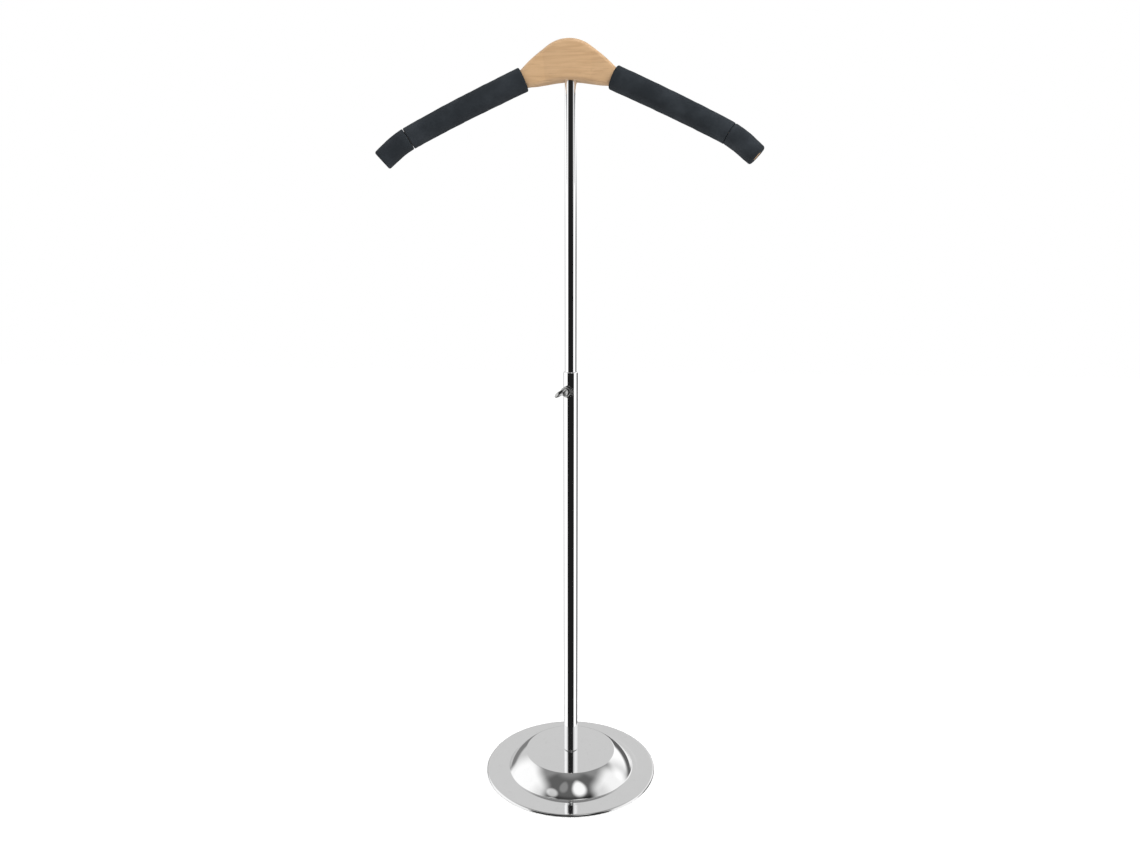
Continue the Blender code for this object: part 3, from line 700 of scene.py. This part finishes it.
def screw_grid():
    """Shank rows carry a helical thread of 1 mm pitch; the rest are superellipses that turn
    with the paddle."""
    angle = np.linspace(0, math.tau, 72, endpoint=False)
    shank = np.linspace(SHANK_FOOT, HUB_FOOT - NUDGE, 60)
    ridge = np.abs(((shank[:, None] / MM - angle / math.tau) % 1.0) * 2 - 1)
    radius = 2.62 * MM + 0.32 * MM * ridge
    radius[:6] *= np.linspace(0.82, 1.0, 6)[:, None]
    stations = screw_stations()
    cosine, sine = np.cos(angle), np.sin(angle)
    power = 2 / stations[:, 3, None]
    u = np.sign(cosine) * np.abs(cosine) ** power * stations[:, 0, None]
    v = np.sign(sine) * np.abs(sine) ** power * stations[:, 1, None]
    across = np.vstack([radius * cosine, u])
    upward = np.vstack([radius * sine, v])
    along = np.concatenate([shank, stations[:, 2]])[:, None] + 0 * angle
    c, s = math.cos(PADDLE_TURN), math.sin(PADDLE_TURN)
    return on_screw_axis(across * c - upward * s, across * s + upward * c, along)


screw_mesh = grid_mesh("oval_thumb_screw", screw_grid(), sharp=40)
add_piece("oval_thumb_screw", screw_mesh, "clamp_screw", ["thumb_screw"],
          clamp_nickel)

# %% [markdown]
# ## The line of an arm
#
# Each arm starts under the sleeve's inner edge, slopes down gently, bends more steeply near
# its end, and leans forward. Its middle line is a chain of circular arcs, so that after a
# length s the slope is known, and the reach and the drop are differences of its sine and
# cosine over the curvature. The wood, the sleeve and the cap all follow this one line.

# %% Arm line and arm sections
wood_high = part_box("hanger_body")[1]
HEAD_TOP = wood_high.z
HEAD_HEIGHT = 41.3 * MM
HEAD_BOTTOM = HEAD_TOP - HEAD_HEIGHT
BEND_START = 25.0 * MM
ARM_FORWARD = math.radians(11)
ARM_ROOT_X = 47.2 * MM
ARM_ROOT_Z = HEAD_TOP - 39.5 * MM
ASIDE = -2.0 * MM     # the head was fitted a little off the pole's middle
STRETCHES = ((128.0 * MM, math.radians(25.1), math.radians(28.1)),
             (28.6 * MM, math.radians(28.1), math.radians(42.3)),
             (14.4 * MM, math.radians(42.3), math.radians(42.3)))
ARM_LENGTH = sum(stretch[0] for stretch in STRETCHES)
SIZE_AT = np.array([0.0, STRETCHES[0][0] + STRETCHES[1][0], ARM_LENGTH])
WOOD_TALL = np.array([18.5, 16.2, 15.6]) * MM
WOOD_THICK = np.array([13.7, 12.7, 12.0]) * MM


def arm_line(path):
    """Reach, height and slope of the middle line for an array of lengths."""
    path = np.asarray(path, float)
    reach = (ARM_ROOT_X - BEND_START) / math.cos(ARM_FORWARD) + np.minimum(path, 0.0)
    height = ARM_ROOT_Z + 0 * path
    slope = STRETCHES[0][1] + 0 * path
    left = np.maximum(path, 0.0)
    for length, start, end in STRETCHES:
        inside = np.minimum(left, length)
        bend = (end - start) / length
        now = start + bend * inside
        if bend:
            reach = reach + (np.sin(now) - math.sin(start)) / bend
            height = height + (np.cos(now) - math.cos(start)) / bend
        else:
            reach = reach + inside * math.cos(start)
            height = height - inside * math.sin(start)
        slope = np.where(inside > 0, now, slope)
        left = left - inside
    return reach, height, slope


def on_arm(side, path, across, upward):
    """Points at an offset across and above the arm's middle line; side is -1 or 1."""
    reach, height, slope = arm_line(path)
    forward = np.array([side * math.cos(ARM_FORWARD), -math.sin(ARM_FORWARD), 0.0])
    beside = np.array([side * math.sin(ARM_FORWARD), math.cos(ARM_FORWARD), 0.0])
    centre = (np.array([side * BEND_START + ASIDE, 0.0, 0.0]) + reach[..., None] * forward
              + height[..., None] * UPRIGHT)
    above = np.cos(slope)[..., None] * UPRIGHT + np.sin(slope)[..., None] * forward
    return centre + across[..., None] * beside + upward[..., None] * above


def superellipse(angle, power):
    """Unit curve |u|^power + |v|^power = 1."""
    c, s = np.cos(angle), np.sin(angle)
    return np.sign(c) * np.abs(c) ** (2 / power), np.sign(s) * np.abs(s) ** (2 / power)


ARM_POWER = 2.3

# %% [markdown]
# ## The wooden head
#
# Seen from the front, the head is a bell: a round crown, straight shoulders and a hollow blend
# into the arms, over a wide arch. Across, it is a board whose long edges were planed to a
# facet. A rounded polygon gives such a section in one formula: for each direction take how far
# each flat face lets you go, and combine them with a high power, which rounds the corners
# where two faces meet. The section melts into the arm's superellipse towards the sleeve.

# %% Head outline
CROWN_RADIUS = 41.1 * MM
SHOULDER = math.radians(32.8)
ARCH_RADIUS = 83.2 * MM
HEAD_THICK = 21.0 * MM
TOP_FACET, LOW_FACET = 2.6 * MM, 0.8 * MM
CORNER_POWER = 26
BLEND_FROM = 0.90     # share of the way from the crown to the arm where the shoulder ends
MELT_FROM = 0.72      # share of the head where the planed section starts to turn oval
ROOT_LEAN = WOOD_TALL[0] / 2 * math.sin(STRETCHES[0][1])
ROOT_RISE = WOOD_TALL[0] / 2 * math.cos(STRETCHES[0][1])
ROOT_TOP_X = ARM_ROOT_X + ROOT_LEAN * math.cos(ARM_FORWARD)
ROOT_LOW_X = ARM_ROOT_X - ROOT_LEAN * math.cos(ARM_FORWARD)
ROOT_TOP_Z, ROOT_LOW_Z = ARM_ROOT_Z + ROOT_RISE, ARM_ROOT_Z - ROOT_RISE


def head_top(x):
    """Crown arc, straight shoulder, then a slope whose tangent falls evenly to the arm's."""
    crown_end = CROWN_RADIUS * math.sin(SHOULDER)
    root = ARM_ROOT_X + ROOT_LEAN
    blend_start = crown_end + BLEND_FROM * (root - crown_end)
    crown = HEAD_TOP - CROWN_RADIUS + np.sqrt(CROWN_RADIUS ** 2 - np.minimum(x, crown_end) ** 2)
    straight = np.clip(x, crown_end, blend_start) - crown_end
    part = np.clip((x - blend_start) / (root - blend_start), 0.0, None)
    steep, mild = math.tan(SHOULDER), math.tan(STRETCHES[0][1])
    fall = part * (root - blend_start) * (steep + (mild - steep) * part / 2)
    return crown - straight * steep - fall


def head_arch(x):
    """The arch under the head: one circle whose highest point is on the pole."""
    return HEAD_BOTTOM - (ARCH_RADIUS - np.sqrt(ARCH_RADIUS ** 2 - x ** 2))


# %% Head section


def planed_section(angle, half_tall, half_thick, facet):
    """Radius of a rounded polygon with eight faces, for an angle measured from across. Each
    face lets the radius be distance / cos(angle to its normal); the faces are combined as
    (sum of inverse powers)^(-1/p). facet is how far the top edges are planed off."""
    normals = np.radians([0, 180, 90, 270, 47, 133, 315, 225])
    corner = half_tall * np.sin(normals[4]) + half_thick * np.cos(normals[4])
    low_corner = (half_tall + half_thick) * math.sqrt(0.5) - LOW_FACET
    distances = np.stack([half_thick, half_thick, half_tall, half_tall,
                          corner - facet, corner - facet, low_corner, low_corner])
    facing = np.cos(angle[None, None, :] - normals[:, None, None])
    allowed = np.clip(facing, 1e-4, None) / distances[:, :, None]
    return np.sum(allowed ** CORNER_POWER, axis=0) ** (-1 / CORNER_POWER)


def head_grid(side, rows, angle):
    """Sections from the pole to the arm's root. Height is mixed between the arch and the top
    edge, x leans from the arch's x to the top's, and the ring goes from the planed polygon to
    the arm's superellipse as share goes from 0 to 1."""
    share = np.linspace(0.0, 1.0, rows)[:, None]
    top_x, low_x = ROOT_TOP_X * share, ROOT_LOW_X * share
    top_miss = ROOT_TOP_Z - head_top(np.array([[ROOT_TOP_X]]))
    low_miss = ROOT_LOW_Z - head_arch(np.array([[ROOT_LOW_X]]))
    top = head_top(top_x) + top_miss * share ** 3
    low = head_arch(low_x) + low_miss * share ** 3
    half_tall = (top - low)[:, 0] / 2
    half_thick = (HEAD_THICK + (WOOD_THICK[0] - HEAD_THICK) * share[:, 0] ** 2) / 2
    radius = planed_section(angle, half_tall, half_thick, TOP_FACET * (1 - 0.3 * share[:, 0]))
    planed_u, planed_v = radius * np.cos(angle), radius * np.sin(angle)
    oval_u, oval_v = superellipse(angle, ARM_POWER)
    melt = np.clip((share - MELT_FROM) / (1 - MELT_FROM), 0, 1) ** 2
    u = planed_u * (1 - melt) + oval_u * half_thick[:, None] * melt
    v = planed_v * (1 - melt) + oval_v * half_tall[:, None] * melt
    rise = (v / half_tall[:, None] + 1) / 2
    lead = np.maximum(0.0, ARM_ROOT_X * share - BEND_START) * math.tan(ARM_FORWARD)
    x = side * (low_x + (top_x - low_x) * rise) + ASIDE
    return np.stack([x, u - lead, low + (top - low) * rise], axis=-1)


TIP = 3.6 * MM


def tip_shrink(path):
    """How much thinner the wood is near its rounded tip: with s from 0 to 1 over the last
    stretch, TIP * (1 - sqrt(1 - s^2)), a quarter circle."""
    share = np.clip((path - ARM_LENGTH + TIP) / TIP, 0, 1)
    return TIP * (1 - np.sqrt(1 - share ** 2))


def arm_grid(side, angle):
    """Wood sections along the arm, ending in a rounded tip."""
    body = np.linspace(0.0, ARM_LENGTH - TIP, 48)[1:]
    turn = np.radians(np.linspace(0, 84, 10)[1:])
    path = np.concatenate([body, ARM_LENGTH - TIP * (1 - np.sin(turn))])
    shrink = tip_shrink(path)
    tall = np.interp(path, SIZE_AT, WOOD_TALL) / 2 - shrink
    thick = np.interp(path, SIZE_AT, WOOD_THICK) / 2 - shrink
    u, v = superellipse(angle, ARM_POWER)
    return on_arm(side, path[:, None] + 0 * angle, u * thick[:, None], v * tall[:, None])


# %% Head with its arms
wood_angle = np.linspace(0, math.tau, 160, endpoint=False)
left_half = np.concatenate([head_grid(-1, 56, wood_angle), arm_grid(-1, wood_angle)])
right_half = np.concatenate([head_grid(1, 56, wood_angle), arm_grid(1, wood_angle)])
wood_grid = np.concatenate([left_half[:0:-1], right_half])
wood_mesh = grid_mesh("shoulder_head", wood_grid, sharp=60)
shoulder_head = add_piece("shoulder_head", wood_mesh, "mast", ["hanger_body"], maple)

# %% [markdown]
# The tube goes into a drilled seat in the head's underside. A Boolean with a turned cutter
# drills it, with a narrower pilot hole above for the stud. The result is baked into the mesh,
# and the cutter is thrown away.

# %% Drill the tube's seat
stud_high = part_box("hanger_stud")[1]
SEAT_RADIUS = UPPER_RADIUS + 0.25 * MM
PILOT_RADIUS = stud_high.x + 0.3 * MM
SEAT_TOP, PILOT_TOP = upper_high.z + 0.3 * MM, stud_high.z + 0.2 * MM
DRILL_FOOT = HEAD_BOTTOM - 20 * MM     # well below the wood
DRILL_MIDDLE = 0.2 * MM


def drill(piece, profile):
    """Subtract a turned shape from a piece and keep the result as its mesh."""
    cutter_mesh = grid_mesh("seat_drill", turned(profile, 96))
    cutter = bpy.data.objects.new("seat_drill", cutter_mesh)
    bpy.context.scene.collection.objects.link(cutter)
    boolean = piece.modifiers.new("seat", "BOOLEAN")
    boolean.operation, boolean.solver, boolean.object = "DIFFERENCE", "EXACT", cutter
    graph = bpy.context.evaluated_depsgraph_get()
    drilled = bpy.data.meshes.new_from_object(piece.evaluated_get(graph), depsgraph=graph)
    piece.modifiers.clear()
    piece.data = drilled
    bpy.data.objects.remove(cutter)
    drilled.set_sharp_from_angle(angle=math.radians(50))


drill(shoulder_head, np.array([(DRILL_MIDDLE, DRILL_FOOT), (SEAT_RADIUS, DRILL_FOOT),
                               (SEAT_RADIUS, SEAT_TOP), (PILOT_RADIUS, SEAT_TOP),
                               (PILOT_RADIUS, PILOT_TOP), (DRILL_MIDDLE, PILOT_TOP)]))
print("drilled head faces:", len(shoulder_head.data.polygons))

# %% [markdown]
# ## Foam sleeves and caps
#
# The foam is a tube that was pulled over the arm. It is not filled like a cushion, so a
# pressure simulation has nothing to blow up. What it does do is follow the arm, round over at
# its cut ends, and keep shallow dents and swellings where it was gripped. The skin is the arm's
# section grown by the wall, plus a sum of slow waves; the inner wall lies just off the wood.
# Sharp corners would look machined, so both outer lips are quarter circles.

# %% Foam tube
FOAM_WALL = 3.0 * MM
WOOD_GAP = 0.3 * MM
SLEEVE_LENGTH = 134.9 * MM
CAP_START = SLEEVE_LENGTH + 0.3 * MM
CAP_LENGTH = 36.1 * MM
INNER_BEVEL = 0.5 * MM
DENT_DEPTH, DENT_SPAN = 0.28 * MM, 130 * MM


def dents(path, angle, seed, depth):
    """Shallow unevenness of the foam: a few crossed sine waves with seeded phases, fading out
    at the inner wall."""
    random = np.random.default_rng(seed)
    total = 0 * (path + angle)
    for waves, turns in ((1.3, 1), (2.9, 2), (5.3, 3), (8.1, 1), (13.7, 2)):
        phase, twist = random.uniform(0, math.tau, 2)
        total = total + np.sin(path / DENT_SPAN * math.tau * waves + phase) * np.cos(
            angle * turns + twist) / (1 + waves / 6)
    return depth * total / 2.4


def foam_grid(side, start, length, lip_in, lip_out, seed):
    """Rows go along the outer skin, round the outer lip, back along the inner wall and round
    the inner lip. lip_in and lip_out are the rounding at the two ends."""
    end = start + length
    quarter = np.radians(np.linspace(0, 90, 9))
    outer_path = np.concatenate([
        start + lip_in * (1 - np.cos(quarter)),
        np.linspace(start + lip_in, end - lip_out, max(24, round(length / (1.5 * MM))))[1:-1],
        end - lip_out * (1 - np.sin(quarter))])
    drop_in = lip_in * (1 - np.sin(quarter))
    drop_out = lip_out * (1 - np.cos(quarter))
    middle = len(outer_path) - 2 * len(quarter)
    outer_grow = FOAM_WALL + WOOD_GAP - np.concatenate([drop_in, np.zeros(middle), drop_out])
    inner_path = np.linspace(end - INNER_BEVEL, start + INNER_BEVEL, 30)
    path = np.concatenate([outer_path, [end], inner_path, [start]])
    hug = WOOD_GAP - tip_shrink(np.array([end, *inner_path, start]))
    hug[[0, -1]] += INNER_BEVEL
    grow = np.concatenate([outer_grow, hug])
    angle = np.linspace(0, math.tau, 112, endpoint=False)
    u, v = superellipse(angle, ARM_POWER)
    tall = np.interp(path, SIZE_AT, WOOD_TALL) / 2
    thick = np.interp(path, SIZE_AT, WOOD_THICK) / 2
    skin = np.clip((grow - WOOD_GAP) / FOAM_WALL, 0, 1)
    wander = dents(path[:, None], angle[None, :], seed, DENT_DEPTH) * skin[:, None]
    size = grow[:, None] + wander
    return on_arm(side, path[:, None] + 0 * angle, u * (thick[:, None] + size),
                  v * (tall[:, None] + size))


def add_foam(name, node, side, start, length, lips, seed):
    mesh = grid_mesh(name, foam_grid(side, start, length, *lips, seed), wrap_rows=True, sharp=60)
    piece = add_piece(name, mesh, "mast", [node], foam)
    return piece


# %% Both arms' foam
for side_name, side in (("left", -1), ("right", 1)):
    add_foam(f"sleeve_{side_name}", f"foam_sleeve_{side_name}", side, 0.0, SLEEVE_LENGTH,
             (1.1 * MM, 1.3 * MM), 11 + side)
    add_foam(f"cap_{side_name}", f"foam_cap_{side_name}", side, CAP_START, CAP_LENGTH,
             (1.3 * MM, 2.6 * MM), 41 + side)

# %% [markdown]
# ## Studio
#
# Polished metal needs something to reflect. A studio surrounds it with white panels and leaves
# a dark gap where the camera stands, which draws the crisp black stripe down a chrome tube. Here the world is that studio, painted by direction: white to both sides, dark round
# the camera, three soft lamps above it, and pale grey behind and overhead for the flat base to
# mirror. A white shell that only the camera sees gives the plain background, and the floor is
# left out of reflections, so the dark gap continues to the tube's foot.

# %% World
VIEW_SIDE = math.radians(6)     # the camera stands a little to the right of straight ahead
GAP_EDGE = (51.0, 56.0)         # degrees from the camera where the dark gap turns white
LOW_EDGE = (1.0, 9.0)           # degrees above the floor where the panels end
PANEL_LIGHT, GAP_LIGHT, UPPER_LIGHT = 1.20, 0.014, 0.31
# Each lit patch: bearing, height, half its width and half its height in degrees, the power of
# its outline, and its brightness.
LIT_PATCHES = (
    (-91.0, 20.0, 42.0, 32.0, 4.0, 0.95),     # top of the left panel
    (80.0, 20.0, 35.0, 32.0, 4.0, 0.85),      # top of the right panel
    (138.0, 22.0, 32.0, 19.0, 2.0, 0.55),     # wall behind the stand, on the right
    (21.0, 54.0, 17.0, 14.0, 2.0, 1.10),      # main lamp above the camera
    (-39.0, 42.0, 12.0, 7.0, 2.0, 0.60),      # second lamp, lower and to the left
    (-18.0, 57.0, 11.0, 10.0, 2.0, 0.17))     # faint lamp between them


def glow(bearing, height, at_bearing, at_height, wide, tall, power):
    """1 at a lamp's middle, falling smoothly to 0 at its edge: a superellipse in angles."""
    across = (bearing - at_bearing) * (1 / wide)
    upward = (height - at_height) * (1 / tall)
    distance = (across.power(2.0).power(power / 2)
                + upward.power(2.0).power(power / 2)).power(1 / power)
    return 1 - distance.between(0.65, 1.25)


def paint_world():
    """Brightness by direction: a band of panels with a gap near the floor, and above it a
    grey sky with lit patches. Bearings are measured from the camera, heights from level."""
    world = bpy.data.worlds.new("studio")
    bpy.context.scene.world = world
    world.use_nodes = True
    sky = Finish(world.node_tree)
    direction = sky.node("ShaderNodeTexCoord", output="Generated")
    turned_to_view = sky.node("ShaderNodeVectorRotate", {"rotation_type": "Z_AXIS"},
                              {"Vector": direction, "Angle": -VIEW_SIDE})
    split = sky.node("ShaderNodeSeparateXYZ", None, {"Vector": turned_to_view})
    x, y, z = [Wire(sky, output) for output in split.socket.node.outputs]
    degree = 180 / math.pi
    bearing = x.math("ARCTAN2", x, y * -1.0) * degree
    height = z.math("ARCSINE", z) * degree
    around = bearing * bearing
    gap = bearing.between(-GAP_EDGE[1], -GAP_EDGE[0]) * (1 - bearing.between(*GAP_EDGE))
    panels = (PANEL_LIGHT - bearing.between(100.0, 108.0) * 1.06
              - (1 - bearing.between(-140.0, -128.0)) * 0.95)
    band = panels * (1 - gap) + gap * GAP_LIGHT
    front = 1 - around.between(60.0 ** 2, 85.0 ** 2)
    back = around.between(115.0 ** 2, 140.0 ** 2)
    upper = (UPPER_LIGHT - front * (1 - height.between(68.0, 82.0)) * 0.17
             - front * (1 - height.between(34.0, 44.0)) * 0.12
             + back * (1 - height.between(46.0, 60.0)) * 0.42)
    for *patch, light in LIT_PATCHES:
        upper = upper + glow(bearing, height, *patch) * light
    low = 1 - height.between(*LOW_EDGE)
    brightness = band * low + upper * (1 - low)
    background = world.node_tree.nodes["Background"]
    world.node_tree.links.new(brightness.socket, background.inputs["Strength"])
    background.inputs["Color"].default_value = (1, 1, 1, 1)


paint_world()
print("lit patches:", len(LIT_PATCHES))

# %% Floor and shell
SHELL_RADIUS = 9.0
FLOOR_HALF, FLOOR_DROP = 4.0, 0.2 * MM
FLOOR_FADE = (0.10, 0.42)     # metres from the pole where the floor fades into the shell


def white_shell():
    """A ball round the whole studio that glows white, for the camera's eyes only."""
    mesh = bpy.data.meshes.new("white_shell")
    ball = bmesh.new()
    bmesh.ops.create_icosphere(ball, subdivisions=4, radius=SHELL_RADIUS)
    ball.to_mesh(mesh)
    ball.free()
    shell = bpy.data.objects.new("white_shell", mesh)
    bpy.context.scene.collection.objects.link(shell)
    material, finish = new_finish("shell_white")
    mesh.materials.append(dress(material, finish, {"Base Color": (0, 0, 0), "Roughness": 1.0,
                                                   "Specular IOR Level": 0.0,
                                                   "Emission Color": (1, 1, 1, 1),
                                                   "Emission Strength": 1.0}))
    for way in ("visible_glossy", "visible_diffuse", "visible_shadow", "visible_transmission"):
        setattr(shell, way, False)


def pale_floor():
    """A matte floor that also glows with painted light: a faint glow near the base, where the
    lamps' own shading still shows, rising further out to a white glow that fades into the shell.
    """
    mesh = bpy.data.meshes.new("floor")
    corners = [(x * FLOOR_HALF, y * FLOOR_HALF, 0)
               for x, y in ((-1, -1), (1, -1), (1, 1), (-1, 1))]
    mesh.from_pydata(corners, [], [(0, 1, 2, 3)])
    floor = bpy.data.objects.new("floor", mesh)
    bpy.context.scene.collection.objects.link(floor)
    floor.location.z = -FLOOR_DROP
    material, finish = new_finish("floor_pale")
    where = finish.place()
    reach = finish.node("ShaderNodeVectorMath", {"operation": "LENGTH"}, {0: where}, output=1)
    far = reach.between(*FLOOR_FADE)
    shade = finish.blend(far, (0.92, 0.92, 0.92, 1), (0, 0, 0, 1))
    # painted light: the floor's own glow stands in for lamp light, faint near the base and white
    # further out
    painted_floor_glow = finish.blend(far, (0.34, 0.34, 0.34, 1), (1.1, 1.1, 1.1, 1))
    mesh.materials.append(dress(material, finish, {"Base Color": shade, "Roughness": 0.9,
                                                   "Specular IOR Level": 0.0,
                                                   "Emission Color": painted_floor_glow,
                                                   "Emission Strength": 1.0}))
    floor.visible_glossy = False


white_shell()
pale_floor()

# %% [markdown]
# Three soft lamps light the wood and the foam, which do not mirror the room. They are kept out
# of reflections, so they add no bright patches to the chrome's stripe.

# %% Lamps


def soft_lamp(name, place, aim, size, power):
    """A round area lamp: size in metres across, power in watts, turned to face aim."""
    data = bpy.data.lights.new(name, "AREA")
    data.shape, data.size, data.energy = "DISK", size, power
    lamp = bpy.data.objects.new(name, data)
    bpy.context.scene.collection.objects.link(lamp)
    lamp.location = place
    lamp.rotation_euler = (Vector(place) - Vector(aim)).to_track_quat("Z", "Y").to_euler()
    lamp.visible_glossy = False
    return lamp


HEAD_MIDDLE = (0.0, 0.0, 0.78)
soft_lamp("front_lamp", (-0.5, -1.6, 1.1), HEAD_MIDDLE, 0.9, 3.0)
soft_lamp("right_lamp", (0.95, -0.7, 1.7), HEAD_MIDDLE, 0.5, 15.0)
soft_lamp("floor_lamp", (0.0, -0.4, 2.2), (0, 0, 0), 1.2, 9.0)

# %% [markdown]
# ## Camera
#
# The camera stands a little under a metre away, at about seven tenths of the stand's height
# and a little to the right of straight ahead. It has a wide lens and looks down by ten degrees.
# Upright lines would lean near the picture's sides, but the pole is in the middle.

# %% Camera
CAMERA_AWAY = 0.9494
CAMERA_UP = FLANGE_TOP + 0.5872
LOOK_DOWN = math.radians(10.446)
SIDE_STEP = -0.8 * MM     # a hair to the camera's left
SENSOR_WIDTH, FOCAL_LENGTH = 36.0, 27.23
camera_data = bpy.data.cameras.new("camera")
camera_data.sensor_width = SENSOR_WIDTH
camera_data.lens = FOCAL_LENGTH
camera = bpy.data.objects.new("camera", camera_data)
bpy.context.scene.collection.objects.link(camera)
camera.location = (CAMERA_AWAY * math.sin(VIEW_SIDE) + SIDE_STEP * math.cos(VIEW_SIDE),
                   -CAMERA_AWAY * math.cos(VIEW_SIDE) + SIDE_STEP * math.sin(VIEW_SIDE),
                   CAMERA_UP)
camera.rotation_euler = (math.pi / 2 - LOOK_DOWN, 0.0, VIEW_SIDE)
bpy.context.scene.camera = camera
bpy.context.scene.view_settings.view_transform = "Standard"
print("camera:", [round(c, 3) for c in camera.location], "lens:", round(camera_data.lens, 2))
